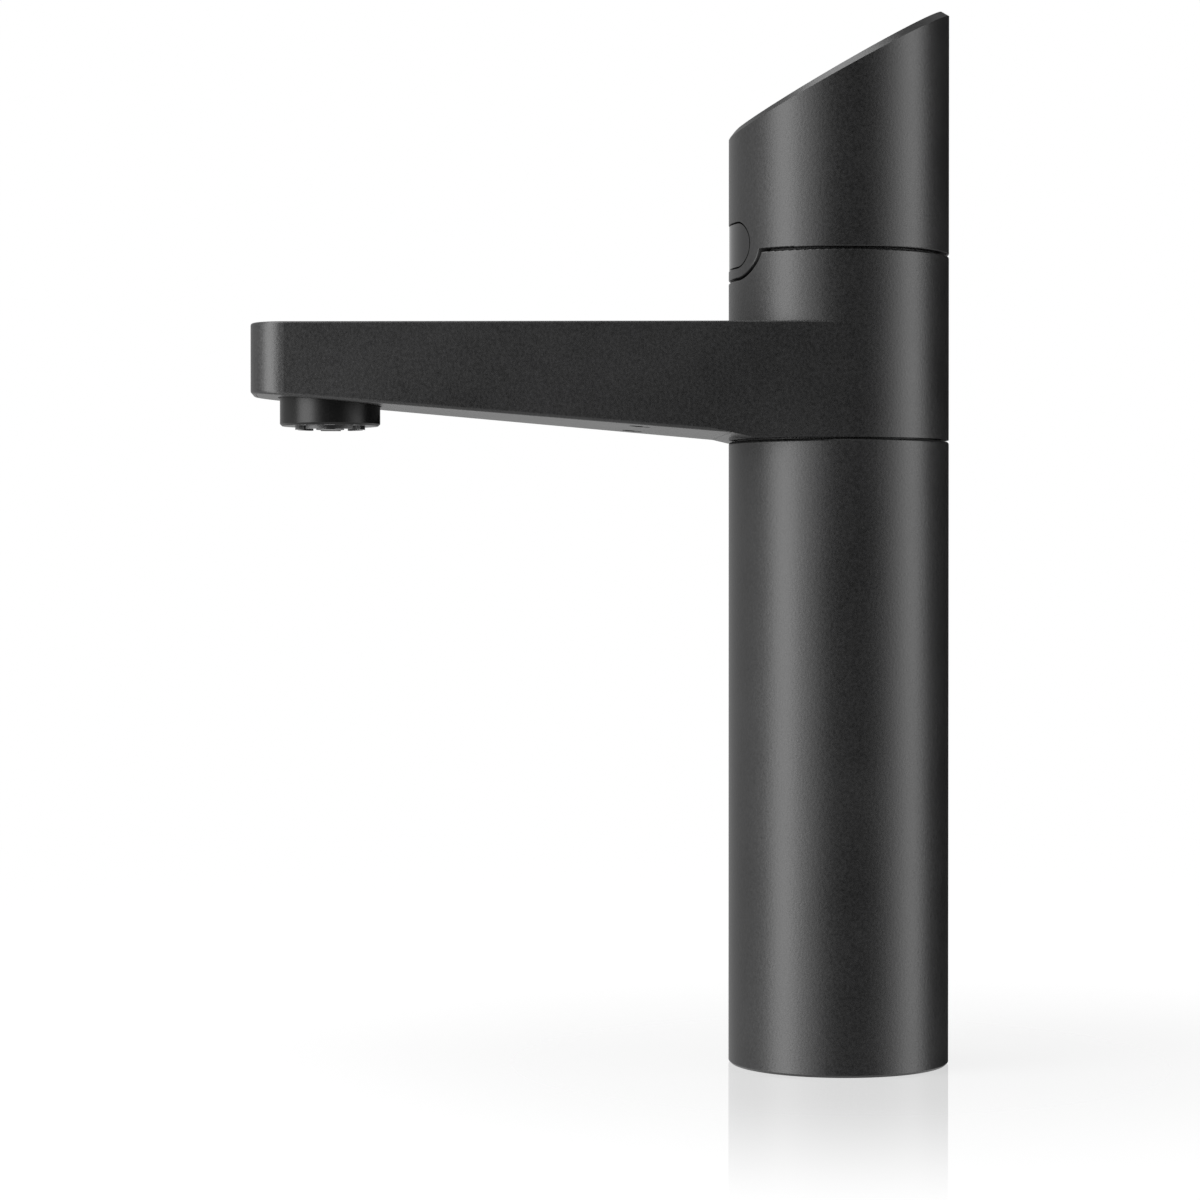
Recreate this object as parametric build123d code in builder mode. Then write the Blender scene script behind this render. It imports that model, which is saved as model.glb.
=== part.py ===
from build123d import *
import math
import os

os.makedirs("parts", exist_ok=True)

# Chilled sparkling water tap with a swivel spout and push controls.
# Millimetres, Z up, origin at the centre of the base on the worktop, spout towards -Y.

# Outer body
body_r = 27.0
column_top_z = 152.6
lower_seam = 0.4
upper_seam = 0.6
collar_bottom_z = column_top_z + lower_seam
collar_top_z = 197.8
head_bottom_z = collar_top_z + upper_seam
head_axis_z = 243.6
head_slope = 30.0
shell_wall = 2.2
brow_round = 5.0
column_round = 0.6
edge_round = 0.3
foot_chamfer = 0.6

# Bevel round the slanted face, narrow at the front and widest at the back
bevel_front = 1.0
bevel_side = 1.35
bevel_back = 2.15

# Fits
slide_gap = 0.05
loose_gap = 0.1
button_gap = 0.45

# Spout arm: the side faces are tangent to the collar and close in towards the tip
outlet_reach = 124.7
tip_beyond_outlet = 19.0
arm_reach = outlet_reach + tip_beyond_outlet
arm_top_z = 180.7
arm_tip_half = 15.4
arm_tip_corner = 9.0
arm_round = 0.6
arm_under_z = 153.9
arm_lower_round = 0.8
arm_under_angle = 4.8
arm_root_inside = 3.0
arm_root_outside = 1.6
arm_side_wall = 2.4
arm_top_wall = 2.5
arm_channel_start = body_r + 3.0
plate_inset = 1.2
plate_gap = 0.1
plate_thickness = 1.6
plate_start = body_r + 2.0
plate_screw_x = body_r - 14.0
plate_screw_ahead = 23.0
plate_screw_reach = body_r + plate_screw_ahead
plate_boss_r = 3.2
plate_screw_r = 1.25
plate_screw_head_r = 2.5
plate_screw_head_low = 0.3
plate_screw_head_top = 1.0
plate_screw_length = 8.0

# Column interior
column_wall = 1.8
column_step = 0.6
column_bore_r = body_r - column_wall
column_inner_r = column_bore_r - column_step
base_height = 28.0
carrier_floor_z = 136.0
carrier_height = 11.0
carrier_rim_z = 152.0
carrier_rim_wall = 4.2
carrier_rim_r = column_bore_r - carrier_rim_wall

# Stem on the swivel axis
stem_r = 8.0
stem_bore_r = 6.0
stem_seat_z = 19.0
chamber_floor_z = 11.0
stem_top_z = 190.0
stem_neck_z = 178.0
stem_flange_r = 13.0
stem_flange_height = 3.0
stem_hole_r = 1.8
conduit_r = 3.6
conduit_bore_r = 2.8
conduit_bottom_z = 4.0
conduit_top_z = 192.0
cable_r = 2.0
cable_top_z = 203.0
nut_across = 21.0
nut_height = 4.5
nut_washer = 1.0
hub_top_z = 182.0
water_z = 172.5
chamber_half = 3.5
chamber_r = 10.8
seal_section = 1.6
lower_seal_z = 165.0
upper_seal_z = 179.4
base_seal_z = 24.0

# Swivel stop
stop_inset = 10.0
stop_r = body_r - stop_inset
stop_pin_r = 2.0
stop_pin_bottom_z = 141.0
stop_pin_top_z = 156.2
stop_groove_gap = 0.3
swivel_range = 60.0

# Base ports
port_inset = 12.5
port_x = body_r - port_inset
port_insert_r = 5.5
port_bore_r = 3.5
port_insert_height = 10.0
port_feed_r = 2.0
port_drill_r = 2.5
port_drill_z = 15.0
drill_plug_length = 4.0
drill_plug_sink = 0.2
stud_inset = 11.0
stud_y = body_r - stud_inset
stud_hole_r = 2.5
stud_hole_depth = 16.0
gasket_inset = 2.6
gasket_width = 2.4
gasket_outer_r = body_r - gasket_inset
gasket_inner_r = gasket_outer_r - gasket_width
gasket_height = 1.6
grommet_r = 6.0
column_screw_r = 2.0

# Water tube and outlet
tube_r = 3.5
tube_bore_r = 2.6
tube_start = chamber_r + 2.2
tube_end = outlet_reach - 10.5
outlet_drop = 5.85
outlet_r = 12.2
outlet_bore_r = 8.55
outlet_throat_r = 7.0
outlet_chamfer = 0.5
outlet_shoulder_z = water_z - 6.5
outlet_neck_r = 9.6
outlet_neck_top_z = outlet_shoulder_z + 4.3
washer_height = 0.8
manifold_r = 12.5
manifold_boss_r = 5.5
manifold_boss_back = 20.1
manifold_boss_start = outlet_reach - manifold_boss_back
insert_r = 8.5
insert_drop = 0.85
insert_wall = 1.4
insert_cup_depth = 4.0
insert_core_r = 3.4
insert_jets = 10
insert_jet_r = 0.9
insert_jet_ring_r = 5.3
insert_notches = 7
insert_notch_width = 2.6
insert_notch_depth = 1.0
screen_height = 1.2
screen_pitch = 3.2
screen_hole = 1.8
screen_seat_z = outlet_shoulder_z - 1.0

# Front button: a pill that spans an angle of the round head
button_z = 200.2
button_half_angle = 29.2
button_length = 2 * body_r * math.sin(math.radians(button_half_angle))
button_height = 10.5
button_flange = 1.0
button_face_r = body_r - 0.1
button_flange_front_y = -(body_r - 7.2)
button_back_y = button_flange_front_y + 1.2
button_travel = 1.0
tongue_seam = 0.6
tongue_side = 3.15
tongue_drop = 2.6
opening_length = button_length + 2 * button_gap
opening_height = button_height + 2 * button_gap
tongue_length = opening_length + 2 * tongue_side - tongue_seam
tongue_height = opening_height + 2 * tongue_drop - tongue_seam
notch_length = tongue_length + 2 * tongue_seam
notch_height = tongue_height + 2 * tongue_seam
switch_body = 6.0
switch_height = 1.3
plunger_r = 1.7
switch_clear = 0.05

# Pads on the sloping face
pad_centre = 1.15
pad_length = 34.4
pad_width = 28.0
pad_corner = 5.0
pad_split = 0.8
pad_proud = 0.62
pad_edge_round = 0.5
pad_flange = 1.0
pad_flange_height = 1.2
pad_travel = 0.7
top_wall = 2.4
frame_floor = 4.6
frame_under = 6.2
board_top = 7.6
board_thickness = 1.6
lead_thickness = 0.8

# Head interior
head_inner_r = body_r - shell_wall
carrier_r = head_inner_r - loose_gap
nut_cavity_r = 12.9
nut_cavity_top_z = 195.0
carrier_deck_z = 199.0
carrier_ring_r = carrier_r - 4.7
pocket_back_y = button_back_y + 4.8
pocket_margin = 1.85
front_board_margin = 0.85
front_board_side = 1.6
socket_r = 5.0
socket_height = 8.0
head_screw_x = body_r - 10.1
head_screw_r = 1.5
head_screw_cap_r = 2.75
head_screw_hex = 2.5
head_screw_seat_z = 188.0
lock_screw_z = 204.0

# Derived placings
slope_sin = math.sin(math.radians(head_slope))
slope_cos = math.cos(math.radians(head_slope))
under_slope = math.tan(math.radians(arm_under_angle))
outlet_bottom_z = arm_under_z + under_slope * (outlet_reach - body_r) - outlet_drop
insert_bottom_z = outlet_bottom_z - insert_drop
arm_tip_angle = math.atan2(arm_tip_half, arm_reach)
arm_lean = math.asin(body_r / math.hypot(arm_reach, arm_tip_half)) - arm_tip_angle
arm_root_half = body_r / math.cos(arm_lean)
arm_side_slope = math.tan(arm_lean)
arm_tangent_start = body_r * math.sin(arm_lean)
clear_length = 8 * body_r
top_plane = Plane(
    origin=(0, 0, head_axis_z),
    x_dir=(1, 0, 0),
    z_dir=(0, -slope_sin, slope_cos),
)
bevel_slope = math.atan(slope_sin / slope_cos - (bevel_back - bevel_front) / (2 * body_r))
bevel_plane = Plane(
    origin=(0, 0, head_axis_z - (bevel_back + bevel_front) / 2),
    x_dir=(1, 0, 0),
    z_dir=(0, -math.sin(bevel_slope), math.cos(bevel_slope)),
)


def under_z(reach):
    """Height of the arm's underside at a distance along the arm."""
    return arm_under_z + under_slope * (reach - body_r)


def arm_plan(level, inset, start, end_inset):
    """Plan outline of the arm, drawn in from its sides, on a level plane."""
    tip = arm_reach - end_inset
    start_half = arm_root_half - arm_side_slope * start - inset
    tip_half = arm_root_half - arm_side_slope * tip - inset
    with BuildSketch(Plane.XY.offset(level)) as plan:
        with BuildLine():
            Polyline(
                (-start_half, -start),
                (-tip_half, -tip),
                (tip_half, -tip),
                (start_half, -start),
                close=True,
            )
        make_face()
        fillet(plan.vertices().sort_by(Axis.Y)[:2], arm_tip_corner - end_inset)
    return plan.sketch


def hexagon(level):
    """Nut outline on a level plane."""
    with BuildSketch(Plane.XY.offset(level)) as outline:
        RegularPolygon(nut_across / 2, 6, major_radius=False)
    return outline.sketch


def outer_edges(underside_face):
    """Edges of the arm's underside along its two sides and round its tip."""
    return underside_face.edges().sort_by(Axis.Y)[:-1]


def seam_edges(piece, low_z, high_z):
    """Edges on the outer round face that run along a seam between two levels."""
    found = []
    for edge in piece.edges():
        samples = [edge.position_at(share / 4) for share in range(5)]
        outside = all(abs(math.hypot(at.X, at.Y) - body_r) < 0.01 for at in samples)
        inside_levels = all(low_z - 0.01 < at.Z < high_z + 0.01 for at in samples)
        upright = abs(samples[0].X - samples[4].X) + abs(samples[0].Y - samples[4].Y) < 0.01
        if outside and inside_levels and not (upright and edge.geom_type == GeomType.LINE):
            found.append(edge)
    return found


# Column tube: the outer pillar, stepped inside to seat the base and the bearing carrier
with BuildPart() as column_tube:
    with BuildSketch():
        Circle(body_r)
    extrude(amount=column_top_z)
    chamfer(column_tube.edges().filter_by(GeomType.CIRCLE).sort_by(Axis.Z)[0], foot_chamfer)
    fillet(column_tube.edges().filter_by(GeomType.CIRCLE).sort_by(Axis.Z)[-1], column_round)
    with BuildSketch():
        Circle(column_bore_r)
    extrude(amount=base_height, mode=Mode.SUBTRACT)
    with BuildSketch(Plane.XY.offset(base_height)):
        Circle(column_inner_r)
    extrude(amount=carrier_floor_z - base_height, mode=Mode.SUBTRACT)
    with BuildSketch(Plane.XY.offset(carrier_floor_z)):
        Circle(column_bore_r)
    extrude(amount=column_top_z - carrier_floor_z, mode=Mode.SUBTRACT)
    with BuildSketch(Plane.XZ.offset(-body_r - 1)):
        with Locations((0, base_height / 2)):
            Circle(column_screw_r + slide_gap)
    extrude(amount=column_wall + 2, mode=Mode.SUBTRACT)
column_tube.part.label = "column_tube"
export_step(column_tube.part, "parts/column_tube.step")

# Mounting base: heavy foot with the water ports, the cable hole and two tapped stud holes
with BuildPart() as mounting_base:
    with BuildSketch():
        Circle(column_bore_r - slide_gap)
    extrude(amount=base_height)
    with BuildSketch():
        Circle(gasket_outer_r)
        Circle(gasket_inner_r, mode=Mode.SUBTRACT)
    extrude(amount=gasket_height, mode=Mode.SUBTRACT)
    with BuildSketch():
        Circle(grommet_r + slide_gap)
    extrude(amount=conduit_bottom_z, mode=Mode.SUBTRACT)
    with BuildSketch():
        Circle(conduit_r + slide_gap)
    extrude(amount=base_height, mode=Mode.SUBTRACT)
    with BuildSketch(Plane.XY.offset(chamber_floor_z)):
        Circle(stem_bore_r + 1)
    extrude(amount=base_height, mode=Mode.SUBTRACT)
    with BuildSketch(Plane.XY.offset(stem_seat_z)):
        Circle(stem_r + slide_gap)
    extrude(amount=base_height - stem_seat_z, mode=Mode.SUBTRACT)
    with BuildSketch():
        with Locations((-port_x, 0), (port_x, 0)):
            Circle(port_insert_r + slide_gap)
    extrude(amount=port_insert_height, mode=Mode.SUBTRACT)
    with BuildSketch():
        with Locations((-port_x, 0), (port_x, 0)):
            Circle(port_feed_r)
    extrude(amount=port_drill_z, mode=Mode.SUBTRACT)
    with BuildSketch(Plane.YZ.offset(-body_r)):
        with Locations((0, port_drill_z)):
            Circle(port_drill_r)
    extrude(amount=2 * body_r, mode=Mode.SUBTRACT)
    with BuildSketch():
        with Locations((0, -stud_y), (0, stud_y)):
            Circle(stud_hole_r)
    extrude(amount=stud_hole_depth, mode=Mode.SUBTRACT)
mounting_base.part.label = "mounting_base"
export_step(mounting_base.part, "parts/mounting_base.step")

# Worktop gasket: flat ring flush with the foot
with BuildPart() as worktop_gasket:
    with BuildSketch():
        Circle(gasket_outer_r - loose_gap)
        Circle(gasket_inner_r + loose_gap, mode=Mode.SUBTRACT)
    extrude(amount=gasket_height)
worktop_gasket.part.label = "worktop_gasket"
export_step(worktop_gasket.part, "parts/worktop_gasket.step")

# Inlet fittings for the chilled and the sparkling hose
with BuildPart() as chilled_inlet:
    with BuildSketch():
        with Locations((-port_x, 0)):
            Circle(port_insert_r)
            Circle(port_bore_r, mode=Mode.SUBTRACT)
    extrude(amount=port_insert_height)
chilled_inlet.part.label = "chilled_inlet"
export_step(chilled_inlet.part, "parts/chilled_inlet.step")

with BuildPart() as sparkling_inlet:
    with BuildSketch():
        with Locations((port_x, 0)):
            Circle(port_insert_r)
            Circle(port_bore_r, mode=Mode.SUBTRACT)
    extrude(amount=port_insert_height)
sparkling_inlet.part.label = "sparkling_inlet"
export_step(sparkling_inlet.part, "parts/sparkling_inlet.step")

# Plugs that close the outer ends of the cross drilling
with BuildPart() as chilled_drill_plug:
    with BuildSketch(Plane.YZ.offset(-column_bore_r + slide_gap + drill_plug_sink)):
        with Locations((0, port_drill_z)):
            Circle(port_drill_r - slide_gap)
    extrude(amount=drill_plug_length)
chilled_drill_plug.part.label = "chilled_drill_plug"
export_step(chilled_drill_plug.part, "parts/chilled_drill_plug.step")

with BuildPart() as sparkling_drill_plug:
    with BuildSketch(Plane.YZ.offset(column_bore_r - slide_gap - drill_plug_sink - drill_plug_length)):
        with Locations((0, port_drill_z)):
            Circle(port_drill_r - slide_gap)
    extrude(amount=drill_plug_length)
sparkling_drill_plug.part.label = "sparkling_drill_plug"
export_step(sparkling_drill_plug.part, "parts/sparkling_drill_plug.step")

# Grommet around the control cable where it leaves the base
with BuildPart() as cable_grommet:
    with BuildSketch():
        Circle(grommet_r)
        Circle(cable_r + slide_gap, mode=Mode.SUBTRACT)
    extrude(amount=conduit_bottom_z)
cable_grommet.part.label = "cable_grommet"
export_step(cable_grommet.part, "parts/cable_grommet.step")

# Conduit tube that keeps the cable out of the water
with BuildPart() as cable_conduit:
    with BuildSketch(Plane.XY.offset(conduit_bottom_z)):
        Circle(conduit_r)
        Circle(conduit_bore_r, mode=Mode.SUBTRACT)
    extrude(amount=conduit_top_z - conduit_bottom_z)
cable_conduit.part.label = "cable_conduit"
export_step(cable_conduit.part, "parts/cable_conduit.step")

# Control cable on the swivel axis
with BuildPart() as control_cable:
    with BuildSketch():
        Circle(cable_r)
    extrude(amount=cable_top_z)
control_cable.part.label = "control_cable"
export_step(control_cable.part, "parts/control_cable.step")

# Stem: water rises between its bore and the conduit and leaves by four side holes
with BuildPart() as stem:
    with BuildSketch(Plane.XY.offset(stem_seat_z)):
        Circle(stem_r)
    extrude(amount=stem_top_z - stem_seat_z)
    with BuildSketch(Plane.XY.offset(base_height)):
        Circle(stem_flange_r)
    extrude(amount=stem_flange_height)
    with BuildSketch(Plane.XY.offset(stem_seat_z)):
        Circle(stem_bore_r)
    extrude(amount=stem_neck_z - stem_seat_z, mode=Mode.SUBTRACT)
    with BuildSketch(Plane.XY.offset(stem_seat_z)):
        Circle(conduit_r + slide_gap)
    extrude(amount=stem_top_z - stem_seat_z, mode=Mode.SUBTRACT)
    with BuildSketch(Plane.YZ.offset(-stem_r - 1)):
        with Locations((0, water_z)):
            Circle(stem_hole_r)
    extrude(amount=2 * stem_r + 2, mode=Mode.SUBTRACT)
    with BuildSketch(Plane.XZ.offset(-stem_r - 1)):
        with Locations((0, water_z)):
            Circle(stem_hole_r)
    extrude(amount=2 * stem_r + 2, mode=Mode.SUBTRACT)
    with BuildSketch(Plane.XZ) as seal_grooves:
        for level in (base_seal_z, lower_seal_z, upper_seal_z):
            with Locations((stem_r - seal_section / 2, level)):
                Rectangle(seal_section + 0.02, seal_section + 0.2)
    revolve(axis=Axis.Z, mode=Mode.SUBTRACT)
    with Locations((0, 0, 0)):
        Cylinder(conduit_r + slide_gap, 2 * stem_top_z, mode=Mode.SUBTRACT)
stem.part.label = "stem"
export_step(stem.part, "parts/stem.step")

# Ring seals on the stem
with BuildPart() as stem_foot_seal:
    with BuildSketch(Plane.XZ):
        with Locations((stem_r - seal_section / 2, base_seal_z)):
            Circle(seal_section / 2)
    revolve(axis=Axis.Z)
stem_foot_seal.part.label = "stem_foot_seal"
export_step(stem_foot_seal.part, "parts/stem_foot_seal.step")

with BuildPart() as stem_lower_seal:
    with BuildSketch(Plane.XZ):
        with Locations((stem_r - seal_section / 2, lower_seal_z)):
            Circle(seal_section / 2)
    revolve(axis=Axis.Z)
stem_lower_seal.part.label = "stem_lower_seal"
export_step(stem_lower_seal.part, "parts/stem_lower_seal.step")

with BuildPart() as stem_upper_seal:
    with BuildSketch(Plane.XZ):
        with Locations((stem_r - seal_section / 2, upper_seal_z)):
            Circle(seal_section / 2)
    revolve(axis=Axis.Z)
stem_upper_seal.part.label = "stem_upper_seal"
export_step(stem_upper_seal.part, "parts/stem_upper_seal.step")

# Bearing carrier: closes the column top, its rim carries the slip ring
with BuildPart() as bearing_carrier:
    with BuildSketch(Plane.XY.offset(carrier_floor_z)):
        Circle(column_bore_r - slide_gap)
        Circle(stem_r + slide_gap, mode=Mode.SUBTRACT)
    extrude(amount=carrier_height)
    with BuildSketch(Plane.XY.offset(carrier_floor_z)):
        Circle(column_bore_r - slide_gap)
        Circle(carrier_rim_r, mode=Mode.SUBTRACT)
    extrude(amount=carrier_rim_z - carrier_floor_z)
    with BuildSketch(Plane.XY.offset(stop_pin_bottom_z)):
        with Locations((0, stop_r)):
            Circle(stop_pin_r + slide_gap)
    extrude(amount=carrier_height, mode=Mode.SUBTRACT)
bearing_carrier.part.label = "bearing_carrier"
export_step(bearing_carrier.part, "parts/bearing_carrier.step")

# Clamp nut that pulls the column down onto the base
with BuildPart() as column_clamp_nut:
    add(hexagon(carrier_floor_z + carrier_height))
    extrude(amount=nut_height)
    with BuildSketch(Plane.XY.offset(carrier_floor_z + carrier_height)):
        Circle(stem_r + slide_gap)
    extrude(amount=nut_height, mode=Mode.SUBTRACT)
column_clamp_nut.part.label = "column_clamp_nut"
export_step(column_clamp_nut.part, "parts/column_clamp_nut.step")

# Slip ring under the collar
with BuildPart() as slip_ring:
    with BuildSketch(Plane.XY.offset(carrier_rim_z)):
        Circle(column_bore_r - loose_gap)
        Circle(carrier_rim_r + loose_gap, mode=Mode.SUBTRACT)
    extrude(amount=collar_bottom_z - carrier_rim_z)
slip_ring.part.label = "slip_ring"
export_step(slip_ring.part, "parts/slip_ring.step")

# Stop pin that limits the swivel
with BuildPart() as stop_pin:
    with BuildSketch(Plane.XY.offset(stop_pin_bottom_z)):
        with Locations((0, stop_r)):
            Circle(stop_pin_r)
    extrude(amount=stop_pin_top_z - stop_pin_bottom_z)
stop_pin.part.label = "stop_pin"
export_step(stop_pin.part, "parts/stop_pin.step")

# Retaining washer and nut that hold the collar on the stem
with BuildPart() as retaining_washer:
    with BuildSketch(Plane.XY.offset(hub_top_z + loose_gap)):
        Circle(nut_across / 2 + 1)
        Circle(stem_r + slide_gap, mode=Mode.SUBTRACT)
    extrude(amount=nut_washer)
retaining_washer.part.label = "retaining_washer"
export_step(retaining_washer.part, "parts/retaining_washer.step")

with BuildPart() as retaining_nut:
    add(hexagon(hub_top_z + loose_gap + nut_washer))
    extrude(amount=nut_height)
    with BuildSketch(Plane.XY.offset(hub_top_z + loose_gap + nut_washer)):
        Circle(stem_r + slide_gap)
    extrude(amount=nut_height, mode=Mode.SUBTRACT)
retaining_nut.part.label = "retaining_nut"
export_step(retaining_nut.part, "parts/retaining_nut.step")

# Locking screw at the back of the column
with BuildPart() as column_screw:
    with BuildSketch(Plane.XZ.offset(-column_bore_r + slide_gap)):
        with Locations((0, base_height / 2)):
            Circle(column_screw_r)
    extrude(amount=-(column_wall - slide_gap - 0.3))
    with BuildSketch(Plane.XZ.offset(-body_r)):
        with Locations((0, base_height / 2)):
            RegularPolygon(column_screw_r / 2, 6, major_radius=False)
    extrude(amount=1.0, mode=Mode.SUBTRACT)
column_screw.part.label = "column_screw"
export_step(column_screw.part, "parts/column_screw.step")

# Space that the underside plate fills, cut out of the arm as its rebate
with BuildPart() as plate_rebate:
    add(arm_plan(collar_bottom_z - 5, plate_inset, plate_start, plate_inset))
    extrude(amount=2 * body_r)
    with BuildSketch(Plane.YZ):
        with BuildLine():
            Polyline(
                (0, under_z(0) - 5),
                (-arm_reach - 5, under_z(arm_reach + 5) - 5),
                (-arm_reach - 5, under_z(arm_reach + 5) + plate_thickness),
                (0, under_z(0) + plate_thickness),
                close=True,
            )
        make_face()
    extrude(amount=2 * body_r, both=True, mode=Mode.INTERSECT)

# Spout body: collar, hub and hollow arm in one casting
stop_arc = CenterArc(
    (0, 0),
    stop_r,
    90 - swivel_range - math.degrees(stop_groove_gap / stop_r),
    2 * (swivel_range + math.degrees(stop_groove_gap / stop_r)),
    mode=Mode.PRIVATE,
)
with BuildPart() as spout_body:
    add(arm_plan(collar_bottom_z, 0, arm_tangent_start, 0))
    extrude(amount=arm_top_z - collar_bottom_z)
    fillet(spout_body.edges().group_by(Axis.Z)[-1].filter_by(lambda e: e.center().Y < -1), arm_round)
    with BuildSketch(Plane.YZ):
        with BuildLine():
            Polyline(
                (-body_r + arm_root_inside, collar_bottom_z),
                (-body_r - arm_root_outside, under_z(body_r + arm_root_outside)),
                (-arm_reach - 5, under_z(arm_reach + 5)),
                (-arm_reach - 5, collar_bottom_z - 5),
                (-body_r + arm_root_inside, collar_bottom_z - 5),
                close=True,
            )
        make_face()
    extrude(amount=2 * body_r, both=True, mode=Mode.SUBTRACT)
    underside = Plane((0, 0, under_z(0)), z_dir=(0, -under_slope, -1))
    fillet(outer_edges(spout_body.faces().filter_by(underside).sort_by(SortBy.AREA)[-1]), arm_lower_round)
    add(arm_plan(arm_top_z - arm_top_wall, arm_side_wall, arm_channel_start, arm_side_wall))
    extrude(amount=-2 * body_r, mode=Mode.SUBTRACT)
    with BuildSketch(Plane.XY.offset(arm_top_z - arm_top_wall)):
        with Locations((-plate_screw_x, -plate_screw_reach), (plate_screw_x, -plate_screw_reach)):
            Circle(plate_boss_r)
    extrude(amount=-(arm_top_z - arm_top_wall - under_z(plate_screw_reach) - 1))
    add(plate_rebate.part, mode=Mode.SUBTRACT)
    with BuildSketch(Plane.XY.offset(under_z(plate_screw_reach))):
        with Locations((-plate_screw_x, -plate_screw_reach), (plate_screw_x, -plate_screw_reach)):
            Circle(plate_screw_r + slide_gap)
    extrude(amount=10, mode=Mode.SUBTRACT)
    with BuildSketch(Plane.XY.offset(collar_bottom_z)):
        Circle(body_r)
    extrude(amount=collar_top_z - collar_bottom_z)
    with BuildSketch(Plane.XZ):
        with Locations((0, button_z)):
            SlotOverall(notch_length, notch_height)
    extrude(amount=body_r + 1, mode=Mode.SUBTRACT)
    fillet(seam_edges(spout_body, button_z - body_r / 2, collar_top_z), edge_round)
    with BuildSketch(Plane.XY.offset(hub_top_z)):
        Circle(head_inner_r)
    extrude(amount=collar_top_z - hub_top_z, mode=Mode.SUBTRACT)
    with BuildSketch(Plane.XY.offset(collar_bottom_z)):
        Circle(stem_r + slide_gap)
    extrude(amount=hub_top_z - collar_bottom_z, mode=Mode.SUBTRACT)
    with BuildSketch(Plane.XY.offset(water_z - chamber_half)):
        Circle(chamber_r)
    extrude(amount=2 * chamber_half, mode=Mode.SUBTRACT)
    with BuildSketch(Plane.XZ.offset(chamber_r - 1)):
        with Locations((0, water_z)):
            Circle(tube_r + slide_gap)
    extrude(amount=arm_channel_start - chamber_r + 2, mode=Mode.SUBTRACT)
    with BuildSketch(Plane.XY.offset(collar_bottom_z)):
        SlotArc(stop_arc, 2 * (stop_pin_r + stop_groove_gap))
    extrude(amount=stop_pin_top_z - collar_bottom_z + 0.5, mode=Mode.SUBTRACT)
    with BuildSketch(Plane.XY.offset(hub_top_z)):
        with Locations((-head_screw_x, 0), (head_screw_x, 0)):
            Circle(head_screw_r + slide_gap)
    extrude(amount=-12, mode=Mode.SUBTRACT)
spout_body.part.label = "spout_body"
export_step(spout_body.part, "parts/spout_body.step")

# Underside plate that closes the hollow arm
with BuildPart() as underside_plate:
    plate_edge = plate_inset + plate_gap
    add(arm_plan(collar_bottom_z - 5, plate_edge, plate_start + plate_gap, plate_edge))
    extrude(amount=2 * body_r)
    with BuildSketch(Plane.YZ):
        with BuildLine():
            Polyline(
                (0, under_z(0)),
                (-arm_reach - 5, under_z(arm_reach + 5)),
                (-arm_reach - 5, under_z(arm_reach + 5) + plate_thickness),
                (0, under_z(0) + plate_thickness),
                close=True,
            )
        make_face()
    extrude(amount=2 * body_r, both=True, mode=Mode.INTERSECT)
    with BuildSketch(Plane.XY.offset(collar_bottom_z)):
        with Locations((0, -outlet_reach)):
            Circle(outlet_r + button_gap)
    extrude(amount=body_r, mode=Mode.SUBTRACT)
    with BuildSketch(Plane.XY.offset(collar_bottom_z)):
        with Locations((-plate_screw_x, -plate_screw_reach), (plate_screw_x, -plate_screw_reach)):
            Circle(plate_screw_r + slide_gap)
    extrude(amount=body_r, mode=Mode.SUBTRACT)
    with BuildSketch(Plane.XY.offset(under_z(plate_screw_reach) + plate_screw_head_top)):
        with Locations((-plate_screw_x, -plate_screw_reach), (plate_screw_x, -plate_screw_reach)):
            Circle(plate_screw_head_r + slide_gap)
    extrude(amount=-5, mode=Mode.SUBTRACT)
underside_plate.part.label = "underside_plate"
export_step(underside_plate.part, "parts/underside_plate.step")

# Screws that hold the underside plate
with BuildPart() as plate_screw_left:
    with BuildSketch(Plane.XY.offset(under_z(plate_screw_reach) + plate_screw_head_low)):
        with Locations((-plate_screw_x, -plate_screw_reach)):
            Circle(plate_screw_head_r)
    extrude(amount=plate_screw_head_top - plate_screw_head_low)
    with BuildSketch(Plane.XY.offset(under_z(plate_screw_reach) + plate_screw_head_top)):
        with Locations((-plate_screw_x, -plate_screw_reach)):
            Circle(plate_screw_r)
    extrude(amount=plate_screw_length)
plate_screw_left.part.label = "plate_screw_left"
export_step(plate_screw_left.part, "parts/plate_screw_left.step")

with BuildPart() as plate_screw_right:
    with BuildSketch(Plane.XY.offset(under_z(plate_screw_reach) + plate_screw_head_low)):
        with Locations((plate_screw_x, -plate_screw_reach)):
            Circle(plate_screw_head_r)
    extrude(amount=plate_screw_head_top - plate_screw_head_low)
    with BuildSketch(Plane.XY.offset(under_z(plate_screw_reach) + plate_screw_head_top)):
        with Locations((plate_screw_x, -plate_screw_reach)):
            Circle(plate_screw_r)
    extrude(amount=plate_screw_length)
plate_screw_right.part.label = "plate_screw_right"
export_step(plate_screw_right.part, "parts/plate_screw_right.step")

# Water tube from the hub to the outlet
with BuildPart() as water_tube:
    with BuildSketch(Plane.XZ.offset(tube_start)):
        with Locations((0, water_z)):
            Circle(tube_r)
            Circle(tube_bore_r, mode=Mode.SUBTRACT)
    extrude(amount=tube_end - tube_start)
water_tube.part.label = "water_tube"
export_step(water_tube.part, "parts/water_tube.step")

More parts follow.
